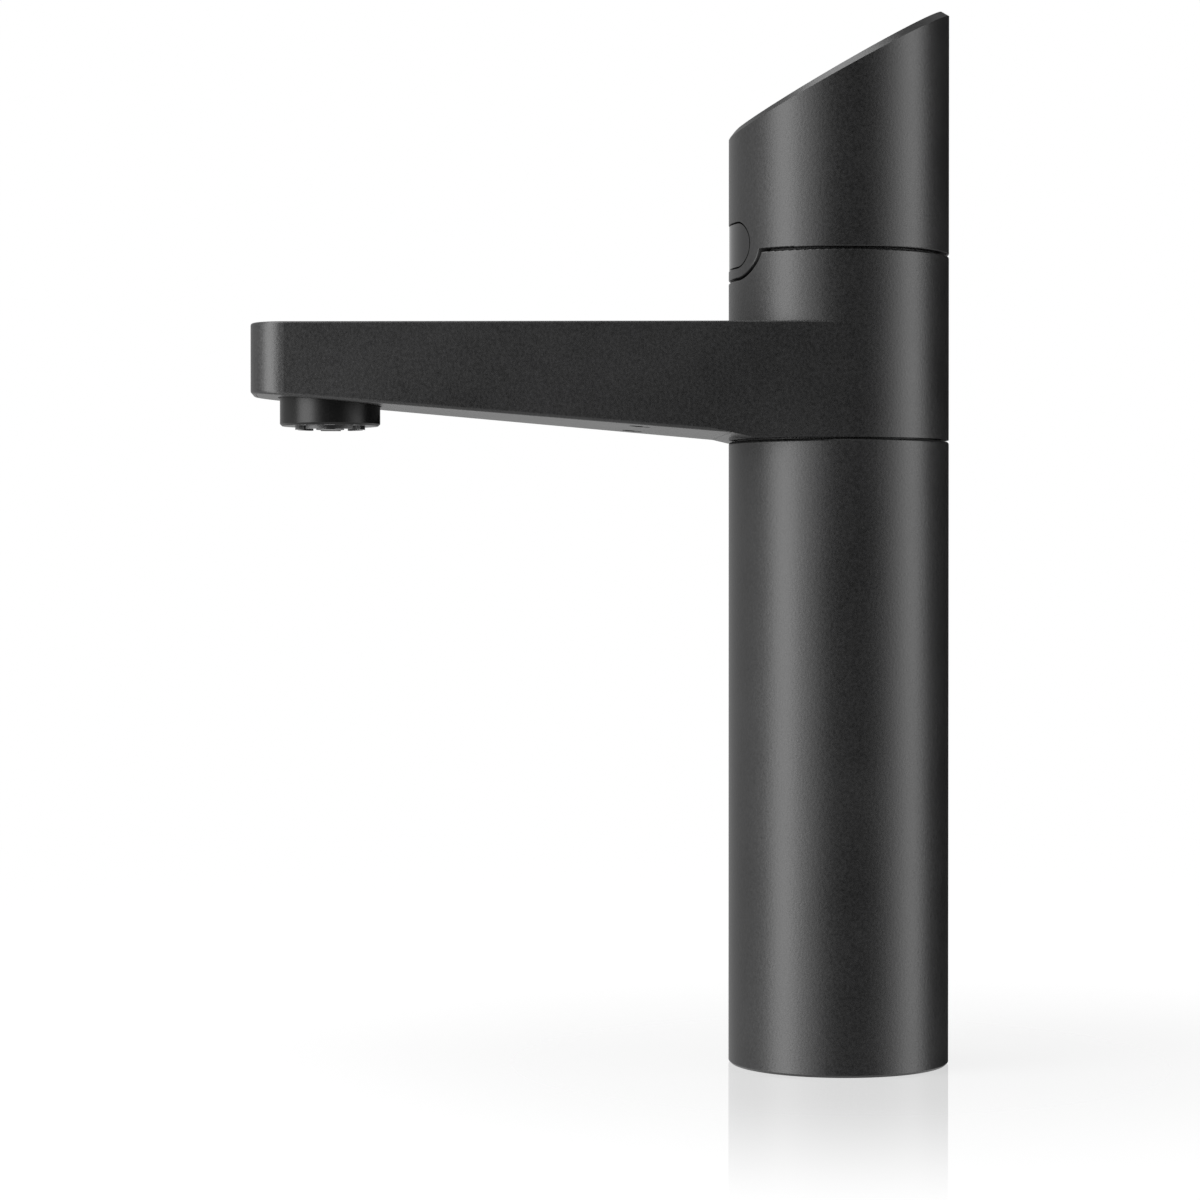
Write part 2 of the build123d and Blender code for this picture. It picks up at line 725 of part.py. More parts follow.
# Outlet manifold: block in the arm tip that joins the tube to the outlet
with BuildPart() as outlet_manifold:
    with BuildSketch(Plane.XY.offset(outlet_shoulder_z + washer_height)):
        with Locations((0, -outlet_reach)):
            Circle(manifold_r)
    extrude(amount=arm_top_z - arm_top_wall - outlet_shoulder_z - washer_height)
    with BuildSketch(Plane.XZ.offset(manifold_boss_start)):
        with Locations((0, water_z)):
            Circle(manifold_boss_r)
    extrude(amount=outlet_reach - manifold_boss_start)
    with BuildSketch(Plane.XY.offset(outlet_shoulder_z)):
        with Locations((0, -outlet_reach)):
            Circle(outlet_neck_r + slide_gap)
    extrude(amount=outlet_neck_top_z - outlet_shoulder_z, mode=Mode.SUBTRACT)
    with BuildSketch(Plane.XY.offset(outlet_neck_top_z)):
        with Locations((0, -outlet_reach)):
            Circle(outlet_throat_r)
    extrude(amount=water_z + tube_r - outlet_neck_top_z, mode=Mode.SUBTRACT)
    with BuildSketch(Plane.XZ.offset(manifold_boss_start)):
        with Locations((0, water_z)):
            Circle(tube_r + slide_gap)
    extrude(amount=tube_end - manifold_boss_start, mode=Mode.SUBTRACT)
    with BuildSketch(Plane.XZ.offset(manifold_boss_start)):
        with Locations((0, water_z)):
            Circle(tube_bore_r)
    extrude(amount=outlet_reach - manifold_boss_start, mode=Mode.SUBTRACT)
outlet_manifold.part.label = "outlet_manifold"
export_step(outlet_manifold.part, "parts/outlet_manifold.step")

# Washer between the outlet housing and the manifold
with BuildPart() as outlet_washer:
    with BuildSketch(Plane.XY.offset(outlet_shoulder_z)):
        with Locations((0, -outlet_reach)):
            Circle(outlet_r - loose_gap)
            Circle(outlet_neck_r + loose_gap, mode=Mode.SUBTRACT)
    extrude(amount=washer_height)
outlet_washer.part.label = "outlet_washer"
export_step(outlet_washer.part, "parts/outlet_washer.step")

# Outlet housing: the round ring under the tip, screwed up into the manifold
with BuildPart() as outlet_housing:
    with BuildSketch(Plane.XY.offset(outlet_bottom_z)):
        with Locations((0, -outlet_reach)):
            Circle(outlet_r)
    extrude(amount=outlet_shoulder_z - outlet_bottom_z)
    chamfer(outlet_housing.edges().sort_by(Axis.Z)[0], outlet_chamfer)
    with BuildSketch(Plane.XY.offset(outlet_shoulder_z)):
        with Locations((0, -outlet_reach)):
            Circle(outlet_neck_r)
    extrude(amount=outlet_neck_top_z - outlet_shoulder_z)
    with BuildSketch(Plane.XY.offset(outlet_bottom_z)):
        with Locations((0, -outlet_reach)):
            Circle(outlet_bore_r)
    extrude(amount=screen_seat_z - outlet_bottom_z, mode=Mode.SUBTRACT)
    with BuildSketch(Plane.XY.offset(outlet_bottom_z)):
        with Locations((0, -outlet_reach)):
            Circle(outlet_throat_r)
    extrude(amount=2 * body_r, mode=Mode.SUBTRACT)
outlet_housing.part.label = "outlet_housing"
export_step(outlet_housing.part, "parts/outlet_housing.step")

# Flow screen above the insert
with BuildPart() as flow_screen:
    with BuildSketch(Plane.XY.offset(screen_seat_z - screen_height)):
        with Locations((0, -outlet_reach)):
            Circle(insert_r)
            with GridLocations(screen_pitch, screen_pitch, 4, 4):
                Rectangle(screen_hole, screen_hole, mode=Mode.SUBTRACT)
    extrude(amount=screen_height)
flow_screen.part.label = "flow_screen"
export_step(flow_screen.part, "parts/flow_screen.step")

# Flow insert with its castellated rim
with BuildPart() as flow_insert:
    with BuildSketch(Plane.XY.offset(insert_bottom_z)):
        with Locations((0, -outlet_reach)):
            Circle(insert_r)
    extrude(amount=screen_seat_z - screen_height - insert_bottom_z)
    with BuildSketch(Plane.XY.offset(insert_bottom_z)):
        with Locations((0, -outlet_reach)):
            Circle(insert_r - insert_wall)
            Circle(insert_core_r, mode=Mode.SUBTRACT)
    extrude(amount=insert_cup_depth, mode=Mode.SUBTRACT)
    with BuildSketch(Plane.XY.offset(insert_bottom_z)):
        with Locations((0, -outlet_reach)):
            with PolarLocations(insert_r - insert_wall / 2, insert_notches):
                Rectangle(3 * insert_wall, insert_notch_width)
    extrude(amount=insert_notch_depth, mode=Mode.SUBTRACT)
    with BuildSketch(Plane.XY.offset(insert_bottom_z)):
        with Locations((0, -outlet_reach)):
            with PolarLocations(insert_jet_ring_r, insert_jets):
                Circle(insert_jet_r)
    extrude(amount=body_r, mode=Mode.SUBTRACT)
flow_insert.part.label = "flow_insert"
export_step(flow_insert.part, "parts/flow_insert.step")

# Hollow of the head, cut out of its shell
with BuildPart() as head_hollow:
    with BuildSketch(Plane.XY.offset(hub_top_z)):
        Circle(head_inner_r)
    extrude(amount=clear_length)
    with BuildSketch(top_plane.offset(-top_wall)):
        Rectangle(clear_length, clear_length)
    extrude(amount=clear_length, mode=Mode.SUBTRACT)

# Outside of the head above the hub: a round pillar whose rim leans in to the slanted face
with BuildPart() as bevelled_pillar:
    with BuildSketch(Plane.XY.offset(hub_top_z)):
        Circle(body_r)
    extrude(amount=clear_length)
    with BuildSketch(bevel_plane):
        Rectangle(clear_length, clear_length)
    extrude(amount=clear_length, mode=Mode.SUBTRACT)
    with BuildSketch(bevel_plane):
        Ellipse(body_r, body_r / math.cos(bevel_slope))
    with BuildSketch(top_plane):
        with Locations((0, (bevel_front - bevel_back) / 2)):
            Ellipse(body_r - bevel_side, body_r / slope_cos - (bevel_back + bevel_front) / 2)
    loft(ruled=True)

# Head shell: slanted cap whose rounded tongue dips into the collar around the front button
with BuildPart() as head_shell:
    with BuildSketch(Plane.XZ):
        with Locations((0, button_z)):
            SlotOverall(tongue_length, tongue_height)
    extrude(amount=body_r + 1)
    with BuildSketch(Plane.XY.offset(hub_top_z)):
        Circle(body_r)
    extrude(amount=body_r, mode=Mode.INTERSECT)
    with BuildSketch(Plane.XY.offset(head_bottom_z)):
        Circle(body_r)
    extrude(amount=clear_length)
    with BuildSketch(Plane.YZ) as side_outline:
        with BuildLine():
            Polyline(
                (-body_r - 0.3, hub_top_z),
                (-body_r - 0.3, head_axis_z - (body_r + 0.3) * slope_sin / slope_cos),
                (body_r + 5, head_axis_z + (body_r + 5) * slope_sin / slope_cos),
                (body_r + 5, hub_top_z),
                close=True,
            )
        make_face()
        fillet(side_outline.vertices().sort_by(Axis.X)[:2].sort_by(Axis.Y)[-1], brow_round)
    extrude(amount=2 * body_r, both=True, mode=Mode.INTERSECT)
    add(bevelled_pillar.part, mode=Mode.INTERSECT)
    fillet(seam_edges(head_shell, hub_top_z, head_bottom_z), edge_round)
    add(head_hollow.part, mode=Mode.SUBTRACT)
    with BuildSketch(Plane.XZ):
        with Locations((0, button_z)):
            SlotOverall(opening_length, opening_height)
    extrude(amount=body_r + 1, mode=Mode.SUBTRACT)
    with BuildSketch(top_plane.offset(1)):
        with Locations((0, pad_centre)):
            RectangleRounded(
                pad_width + 2 * button_gap,
                pad_length + 2 * button_gap,
                pad_corner + button_gap,
            )
    extrude(amount=-5, mode=Mode.SUBTRACT)
    with BuildSketch(Plane.XZ.offset(-body_r - 1)):
        with Locations((0, lock_screw_z)):
            Circle(head_screw_r + slide_gap)
    extrude(amount=5, mode=Mode.SUBTRACT)
head_shell.part.label = "head_shell"
export_step(head_shell.part, "parts/head_shell.step")

# Head carrier: plastic core screwed to the hub, everything in the head sits on it
with BuildPart() as head_carrier:
    with BuildSketch(Plane.XY.offset(hub_top_z)):
        Circle(carrier_r)
    extrude(amount=clear_length)
    with BuildSketch(top_plane.offset(-board_top - board_thickness)):
        Rectangle(clear_length, clear_length)
    extrude(amount=clear_length, mode=Mode.SUBTRACT)
    with BuildSketch(Plane.XY.offset(carrier_deck_z)):
        Circle(carrier_ring_r)
    extrude(amount=clear_length, mode=Mode.SUBTRACT)
    with BuildSketch(Plane.XY.offset(hub_top_z)):
        Circle(nut_cavity_r)
    extrude(amount=nut_cavity_top_z - hub_top_z, mode=Mode.SUBTRACT)
    with BuildSketch(Plane.XY.offset(hub_top_z)):
        Circle(cable_r + 1.2)
    extrude(amount=clear_length, mode=Mode.SUBTRACT)
    with BuildSketch(Plane.XZ.offset(-pocket_back_y)):
        with Locations((0, button_z)):
            Rectangle(button_length + 2 * pocket_margin, button_height + 2 * pocket_margin)
    extrude(amount=body_r, mode=Mode.SUBTRACT)
    with BuildSketch(Plane.XY.offset(hub_top_z)):
        with Locations((-head_screw_x, 0), (head_screw_x, 0)):
            Circle(head_screw_r + slide_gap)
    extrude(amount=30, mode=Mode.SUBTRACT)
    with BuildSketch(Plane.XY.offset(head_screw_seat_z)):
        with Locations((-head_screw_x, 0), (head_screw_x, 0)):
            Circle(head_screw_cap_r + 3 * slide_gap)
    extrude(amount=carrier_deck_z - head_screw_seat_z, mode=Mode.SUBTRACT)
    with BuildSketch(Plane.XZ.offset(-body_r)):
        with Locations((0, lock_screw_z)):
            Circle(head_screw_r + slide_gap)
    extrude(amount=body_r - carrier_ring_r - 1, mode=Mode.SUBTRACT)
head_carrier.part.label = "head_carrier"
export_step(head_carrier.part, "parts/head_carrier.step")

# Screws that hold the carrier to the hub
with BuildPart() as carrier_screw_left:
    with BuildSketch(Plane.XY.offset(head_screw_seat_z)):
        with Locations((-head_screw_x, 0)):
            Circle(head_screw_cap_r)
    extrude(amount=3)
    with BuildSketch(Plane.XY.offset(head_screw_seat_z)):
        with Locations((-head_screw_x, 0)):
            Circle(head_screw_r)
    extrude(amount=-16)
    with BuildSketch(Plane.XY.offset(head_screw_seat_z + 3)):
        with Locations((-head_screw_x, 0)):
            RegularPolygon(head_screw_hex / 2, 6, major_radius=False)
    extrude(amount=-1.8, mode=Mode.SUBTRACT)
carrier_screw_left.part.label = "carrier_screw_left"
export_step(carrier_screw_left.part, "parts/carrier_screw_left.step")

with BuildPart() as carrier_screw_right:
    with BuildSketch(Plane.XY.offset(head_screw_seat_z)):
        with Locations((head_screw_x, 0)):
            Circle(head_screw_cap_r)
    extrude(amount=3)
    with BuildSketch(Plane.XY.offset(head_screw_seat_z)):
        with Locations((head_screw_x, 0)):
            Circle(head_screw_r)
    extrude(amount=-16)
    with BuildSketch(Plane.XY.offset(head_screw_seat_z + 3)):
        with Locations((head_screw_x, 0)):
            RegularPolygon(head_screw_hex / 2, 6, major_radius=False)
    extrude(amount=-1.8, mode=Mode.SUBTRACT)
carrier_screw_right.part.label = "carrier_screw_right"
export_step(carrier_screw_right.part, "parts/carrier_screw_right.step")

# Set screw at the back that locks the shell to the carrier
with BuildPart() as shell_lock_screw:
    with BuildSketch(Plane.XZ.offset(-carrier_ring_r - 1.3)):
        with Locations((0, lock_screw_z)):
            Circle(head_screw_r)
    extrude(amount=-5.3)
    with BuildSketch(Plane.XZ.offset(-carrier_ring_r - 6.6)):
        with Locations((0, lock_screw_z)):
            RegularPolygon(0.75, 6, major_radius=False)
    extrude(amount=1.5, mode=Mode.SUBTRACT)
shell_lock_screw.part.label = "shell_lock_screw"
export_step(shell_lock_screw.part, "parts/shell_lock_screw.step")

# Socket on the carrier deck that takes the control cable
with BuildPart() as cable_socket:
    with BuildSketch(Plane.XY.offset(carrier_deck_z)):
        Circle(socket_r)
    extrude(amount=socket_height)
    with BuildSketch(Plane.XY.offset(carrier_deck_z)):
        Circle(cable_r + loose_gap)
    extrude(amount=cable_top_z - carrier_deck_z + 0.3, mode=Mode.SUBTRACT)
cable_socket.part.label = "cable_socket"
export_step(cable_socket.part, "parts/cable_socket.step")

# Control board parallel to the slanted face
with BuildPart() as control_board:
    with BuildSketch(Plane.XY.offset(hub_top_z)):
        Circle(carrier_r - 1.2)
    extrude(amount=clear_length)
    with BuildSketch(top_plane.offset(-board_top)):
        Rectangle(clear_length, clear_length)
    extrude(amount=clear_length, mode=Mode.SUBTRACT)
    with BuildSketch(top_plane.offset(-board_top - board_thickness)):
        Rectangle(clear_length, clear_length)
    extrude(amount=-clear_length, mode=Mode.SUBTRACT)
control_board.part.label = "control_board"
export_step(control_board.part, "parts/control_board.step")

# Lead from the socket up to the control board
with BuildPart() as board_lead:
    with BuildSketch(Plane.XY.offset(carrier_deck_z + socket_height)):
        Rectangle(3 * cable_r, lead_thickness)
    extrude(amount=clear_length)
    with BuildSketch(top_plane.offset(-board_top - board_thickness)):
        Rectangle(clear_length, clear_length)
    extrude(amount=clear_length, mode=Mode.SUBTRACT)
board_lead.part.label = "board_lead"
export_step(board_lead.part, "parts/board_lead.step")

# Push switches under the two pads
switch_top = top_wall + pad_flange_height + pad_travel + switch_clear
with BuildPart() as chilled_switch:
    with BuildSketch(top_plane.offset(-board_top)):
        with Locations((-pad_width / 4, pad_centre)):
            Rectangle(switch_body, switch_body)
    extrude(amount=switch_height)
    with BuildSketch(top_plane.offset(-board_top + switch_height)):
        with Locations((-pad_width / 4, pad_centre)):
            Circle(plunger_r)
    extrude(amount=board_top - switch_height - switch_top)
chilled_switch.part.label = "chilled_switch"
export_step(chilled_switch.part, "parts/chilled_switch.step")

with BuildPart() as sparkling_switch:
    with BuildSketch(top_plane.offset(-board_top)):
        with Locations((pad_width / 4, pad_centre)):
            Rectangle(switch_body, switch_body)
    extrude(amount=switch_height)
    with BuildSketch(top_plane.offset(-board_top + switch_height)):
        with Locations((pad_width / 4, pad_centre)):
            Circle(plunger_r)
    extrude(amount=board_top - switch_height - switch_top)
sparkling_switch.part.label = "sparkling_switch"
export_step(sparkling_switch.part, "parts/sparkling_switch.step")

# Pad frame clamped between the board and the shell, it guides the pads
with BuildPart() as pad_frame:
    with BuildSketch(Plane.XY.offset(hub_top_z)):
        Circle(carrier_r)
    extrude(amount=clear_length)
    with BuildSketch(top_plane.offset(-top_wall)):
        Rectangle(clear_length, clear_length)
    extrude(amount=clear_length, mode=Mode.SUBTRACT)
    with BuildSketch(top_plane.offset(-board_top)):
        Rectangle(clear_length, clear_length)
    extrude(amount=-clear_length, mode=Mode.SUBTRACT)
    with BuildSketch(top_plane.offset(-frame_floor)):
        with Locations((0, pad_centre)):
            RectangleRounded(
                pad_width + 2 * (pad_flange + button_gap),
                pad_length + 2 * (pad_flange + button_gap),
                pad_corner + pad_flange + button_gap,
            )
    extrude(amount=10, mode=Mode.SUBTRACT)
    with BuildSketch(top_plane.offset(-board_top)):
        with Locations((0, pad_centre)):
            Rectangle(pad_width, pad_length)
    extrude(amount=board_top - frame_under, mode=Mode.SUBTRACT)
    with BuildSketch(top_plane.offset(-board_top)):
        with Locations((-pad_width / 4, pad_centre), (pad_width / 4, pad_centre)):
            Circle(plunger_r + 0.5)
    extrude(amount=5, mode=Mode.SUBTRACT)
pad_frame.part.label = "pad_frame"
export_step(pad_frame.part, "parts/pad_frame.step")

# The two pads: chilled on the left half, sparkling on the right half
with BuildPart() as chilled_pad:
    with BuildSketch(top_plane.offset(-top_wall)):
        with Locations((0, pad_centre)):
            RectangleRounded(pad_width, pad_length, pad_corner)
    extrude(amount=top_wall + pad_proud)
    fillet(chilled_pad.edges().group_by(Axis(top_plane.origin, top_plane.z_dir))[-1], pad_edge_round)
    with BuildSketch(top_plane.offset(-top_wall - pad_flange_height)):
        with Locations((0, pad_centre)):
            RectangleRounded(pad_width + 2 * pad_flange, pad_length + 2 * pad_flange, pad_corner + pad_flange)
    extrude(amount=pad_flange_height)
    with BuildSketch(top_plane.offset(-clear_length / 2)):
        with Locations((pad_width / 2 - pad_split / 2, pad_centre)):
            Rectangle(pad_width, 2 * pad_length)
    extrude(amount=clear_length, mode=Mode.SUBTRACT)
chilled_pad.part.label = "chilled_pad"
export_step(chilled_pad.part, "parts/chilled_pad.step")

with BuildPart() as sparkling_pad:
    with BuildSketch(top_plane.offset(-top_wall)):
        with Locations((0, pad_centre)):
            RectangleRounded(pad_width, pad_length, pad_corner)
    extrude(amount=top_wall + pad_proud)
    fillet(sparkling_pad.edges().group_by(Axis(top_plane.origin, top_plane.z_dir))[-1], pad_edge_round)
    with BuildSketch(top_plane.offset(-top_wall - pad_flange_height)):
        with Locations((0, pad_centre)):
            RectangleRounded(pad_width + 2 * pad_flange, pad_length + 2 * pad_flange, pad_corner + pad_flange)
    extrude(amount=pad_flange_height)
    with BuildSketch(top_plane.offset(-clear_length / 2)):
        with Locations((-pad_width / 2 + pad_split / 2, pad_centre)):
            Rectangle(pad_width, 2 * pad_length)
    extrude(amount=clear_length, mode=Mode.SUBTRACT)
sparkling_pad.part.label = "sparkling_pad"
export_step(sparkling_pad.part, "parts/sparkling_pad.step")

# Front button: pill flush with the head, its flange stays behind the shell
with BuildPart() as front_button:
    with BuildSketch(Plane.XY.offset(hub_top_z)):
        Circle(button_face_r)
    extrude(amount=clear_length)
    with BuildSketch(Plane.XZ):
        with Locations((0, button_z)):
            SlotOverall(button_length, button_height)
    extrude(amount=body_r + 1, mode=Mode.INTERSECT)
    with BuildSketch(Plane.XZ) as flange_outline:
        with Locations((0, button_z)):
            SlotOverall(button_length + 2 * button_flange, button_height + 2 * button_flange)
    extrude(amount=-button_flange_front_y)
    with BuildSketch(Plane.XZ):
        with Locations((0, button_z)):
            Rectangle(2 * button_length, 2 * button_length)
    extrude(amount=-button_back_y, mode=Mode.SUBTRACT)
front_button.part.label = "front_button"
export_step(front_button.part, "parts/front_button.step")

# Front switch board, its push switch and the lead up to the control board
with BuildPart() as front_board:
    with BuildSketch(Plane.XZ.offset(-pocket_back_y)):
        with Locations((0, button_z)):
            Rectangle(button_length - 2 * front_board_side, button_height + 2 * front_board_margin)
    extrude(amount=board_thickness)
front_board.part.label = "front_board"
export_step(front_board.part, "parts/front_board.step")

with BuildPart() as front_switch:
    with BuildSketch(Plane.XZ.offset(-pocket_back_y + board_thickness)):
        with Locations((0, button_z)):
            Rectangle(switch_body, switch_body)
    extrude(amount=switch_height)
    with BuildSketch(Plane.XZ.offset(-pocket_back_y + board_thickness)):
        with Locations((0, button_z)):
            Circle(plunger_r)
    extrude(amount=-button_back_y - button_travel - switch_clear + pocket_back_y - board_thickness)
front_switch.part.label = "front_switch"
export_step(front_switch.part, "parts/front_switch.step")

with BuildPart() as front_lead:
    with BuildSketch(Plane.XY.offset(button_z + button_height / 2 + front_board_margin)):
        with Locations((0, pocket_back_y - board_thickness / 2)):
            Rectangle(5, lead_thickness)
    extrude(amount=clear_length)
    with BuildSketch(top_plane.offset(-board_top - board_thickness)):
        Rectangle(clear_length, clear_length)
    extrude(amount=clear_length, mode=Mode.SUBTRACT)
front_lead.part.label = "front_lead"
export_step(front_lead.part, "parts/front_lead.step")
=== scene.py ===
import math

import bpy
import numpy as np
from mathutils import Matrix, Vector

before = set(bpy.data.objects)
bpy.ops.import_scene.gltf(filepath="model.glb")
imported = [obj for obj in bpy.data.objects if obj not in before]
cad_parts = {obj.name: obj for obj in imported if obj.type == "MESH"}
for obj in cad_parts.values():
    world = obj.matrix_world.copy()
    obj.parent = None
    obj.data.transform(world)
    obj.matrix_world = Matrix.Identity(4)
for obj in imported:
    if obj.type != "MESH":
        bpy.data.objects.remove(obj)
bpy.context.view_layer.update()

# Column tube
# Round steel pillar, 54 mm across, cut square at both ends, with the foot edge broken.
# It is blasted and powder coated in satin black, so it carries a very fine even grain.


def wire(tree, start, output, end, socket):
    """Joins one node's output to another node's input."""
    tree.links.new(start.outputs[output], end.inputs[socket])


def fresh_finish(name):
    """A new material with its shader and the piece's own coordinates."""
    finish = bpy.data.materials.new(name)
    finish.use_nodes = True
    tree = finish.node_tree
    tree.nodes.clear()
    shader = tree.nodes.new("ShaderNodeBsdfPrincipled")
    surface = tree.nodes.new("ShaderNodeOutputMaterial")
    place = tree.nodes.new("ShaderNodeTexCoord")
    wire(tree, shader, "BSDF", surface, "Surface")
    return finish, tree, shader, place


def wear_finish(finish, *nodes):
    """Puts a finish on every slot of the frame nodes named."""
    for node in nodes:
        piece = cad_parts[node]
        if not piece.material_slots:
            piece.data.materials.append(finish)
        for holder in piece.material_slots:
            holder.material = finish


def calculation(tree, operation, kind="ShaderNodeMath"):
    """A math node, or a vector math node, set to one operation."""
    node = tree.nodes.new(kind)
    node.operation = operation
    return node


def remap(tree, given, wanted=(0.0, 1.0), eased=False):
    """Map Range node from one span to another, straight or eased at both ends."""
    node = tree.nodes.new("ShaderNodeMapRange")
    if eased:
        node.interpolation_type = "SMOOTHSTEP"
    node.inputs["From Min"].default_value, node.inputs["From Max"].default_value = given
    node.inputs["To Min"].default_value, node.inputs["To Max"].default_value = wanted
    return node


def two_tones(tree, dark, light, span=(0.0, 1.0)):
    """Colour ramp from a dark tone at the span's start to a light tone at its end."""
    tone = tree.nodes.new("ShaderNodeValToRGB")
    for stop, place_on_ramp, colour in zip(tone.color_ramp.elements, span, (dark, light)):
        stop.position = place_on_ramp
        stop.color = (*colour, 1.0)
    return tone


def relief_from(tree, source, output, shader, strength, depth):
    """Bump on the shader's normal from a height that changes over the surface."""
    relief = tree.nodes.new("ShaderNodeBump")
    relief.inputs["Strength"].default_value = strength
    relief.inputs["Distance"].default_value = depth
    wire(tree, source, output, relief, "Height")
    wire(tree, relief, "Normal", shader, "Normal")


FINE_SHARE = 0.7
DRIFT_SHARE = 0.3
DRIFT_SCALE = 38.0
GRAIN_SPAN = (0.3, 0.72)
GRAIN_STRENGTH = 0.35


def coat_grain_group():
    """Powder coat: two sizes of noise added together, fine orange peel over a slow drift."""
    group = bpy.data.node_groups.new("coat_grain", "ShaderNodeTree")
    group.interface.new_socket("Position", in_out="INPUT", socket_type="NodeSocketVector")
    group.interface.new_socket("Fine scale", in_out="INPUT", socket_type="NodeSocketFloat")
    group.interface.new_socket("Drift scale", in_out="INPUT", socket_type="NodeSocketFloat")
    group.interface.new_socket("Tone", in_out="OUTPUT", socket_type="NodeSocketFloat")
    group.interface.new_socket("Height", in_out="OUTPUT", socket_type="NodeSocketFloat")
    enter = group.nodes.new("NodeGroupInput")
    leave = group.nodes.new("NodeGroupOutput")
    fine = group.nodes.new("ShaderNodeTexNoise")
    fine.inputs["Detail"].default_value = 3.0
    fine.inputs["Roughness"].default_value = 0.6
    drift = group.nodes.new("ShaderNodeTexNoise")
    drift.inputs["Detail"].default_value = 2.0
    wire(group, enter, "Position", fine, "Vector")
    wire(group, enter, "Fine scale", fine, "Scale")
    wire(group, enter, "Position", drift, "Vector")
    wire(group, enter, "Drift scale", drift, "Scale")
    blend = calculation(group, "MULTIPLY_ADD")
    blend.inputs[1].default_value = FINE_SHARE
    wire(group, fine, "Fac", blend, 0)
    share = calculation(group, "MULTIPLY")
    share.inputs[1].default_value = DRIFT_SHARE
    wire(group, drift, "Fac", share, 0)
    wire(group, share, "Value", blend, 2)
    wire(group, blend, "Value", leave, "Tone")
    wire(group, fine, "Fac", leave, "Height")
    return group


coat_grain = coat_grain_group()


def coated(name, dark, light, rough, fine_scale, depth, specular):
    """Satin coat whose tone, roughness and height follow the coat grain."""
    finish, tree, shader, place = fresh_finish(name)
    grain = tree.nodes.new("ShaderNodeGroup")
    grain.node_tree = coat_grain
    grain.inputs["Fine scale"].default_value = fine_scale
    grain.inputs["Drift scale"].default_value = DRIFT_SCALE
    wire(tree, place, "Object", grain, "Position")
    tone = two_tones(tree, dark, light, GRAIN_SPAN)
    wire(tree, grain, "Tone", tone, "Fac")
    wire(tree, tone, "Color", shader, "Base Color")
    polish = remap(tree, GRAIN_SPAN, rough)
    wire(tree, grain, "Tone", polish, "Value")
    wire(tree, polish, "Result", shader, "Roughness")
    relief_from(tree, grain, "Height", shader, GRAIN_STRENGTH, depth)
    shader.inputs["Specular IOR Level"].default_value = specular
    return finish


black_coat = coated(
    "black_coat",
    dark=(0.003, 0.003, 0.0031),
    light=(0.016, 0.016, 0.0163),
    rough=(0.34, 0.42),
    fine_scale=1500.0,
    depth=0.00012,
    specular=0.5,
)
wear_finish(black_coat, "column_tube")

# Spout body, underside plate and head shell
# Cast collar with its hollow arm, the flat plate that closes the arm, and the slanted cap.
# All three are powder coated with the column, so the finish runs through every seam.
wear_finish(black_coat, "spout_body", "underside_plate", "head_shell")

# Outlet housing
# Turned ring under the tip, screwed up into the arm with a tool.
# Its black coat is thinner and smoother than the casting's, so its highlights are narrower.
outlet_coat = coated(
    "outlet_coat",
    dark=(0.003, 0.003, 0.003),
    light=(0.006, 0.006, 0.006),
    rough=(0.28, 0.34),
    fine_scale=2400.0,
    depth=0.00001,
    specular=0.25,
)
wear_finish(outlet_coat, "outlet_housing")

# Flow insert
# Moulded black insert whose castellated rim stands below the ring so that a tool can turn it.
insert_moulding = coated(
    "insert_moulding",
    dark=(0.016, 0.016, 0.016),
    light=(0.03, 0.03, 0.031),
    rough=(0.28, 0.4),
    fine_scale=2400.0,
    depth=0.00001,
    specular=0.5,
)
wear_finish(insert_moulding, "flow_insert")

# Front button and the two pads
# Moulded keys sprayed to match the coat; fingers polish them a little smoother than the metal.
button_spray = coated(
    "button_spray",
    dark=(0.007, 0.007, 0.0073),
    light=(0.013, 0.013, 0.0134),
    rough=(0.11, 0.17),
    fine_scale=2600.0,
    depth=0.00001,
    specular=0.5,
)
wear_finish(button_spray, "front_button", "chilled_pad", "sparkling_pad")

# Brass and steel inside the column and the arm
# Turned and drawn pieces left bare, with fine level tool lines as a lathe leaves them.
LINE_SQUEEZE = (0.04, 0.04, 1.0)
LINE_SPAN = (0.3, 0.7)
LINE_STRENGTH = 0.25
LINE_DEPTH = 0.00002


def tool_lines_group():
    """Turned metal: noise stretched flat across the axis, so it reads as rings along it."""
    group = bpy.data.node_groups.new("tool_lines", "ShaderNodeTree")
    group.interface.new_socket("Position", in_out="INPUT", socket_type="NodeSocketVector")
    group.interface.new_socket("Pitch", in_out="INPUT", socket_type="NodeSocketFloat")
    group.interface.new_socket("Line", in_out="OUTPUT", socket_type="NodeSocketFloat")
    enter = group.nodes.new("NodeGroupInput")
    leave = group.nodes.new("NodeGroupOutput")
    squeeze = calculation(group, "MULTIPLY", "ShaderNodeVectorMath")
    squeeze.inputs[1].default_value = LINE_SQUEEZE
    ring = group.nodes.new("ShaderNodeTexNoise")
    ring.inputs["Detail"].default_value = 4.0
    wire(group, enter, "Position", squeeze, 0)
    wire(group, squeeze, "Vector", ring, "Vector")
    wire(group, enter, "Pitch", ring, "Scale")
    wire(group, ring, "Fac", leave, "Line")
    return group


tool_lines = tool_lines_group()


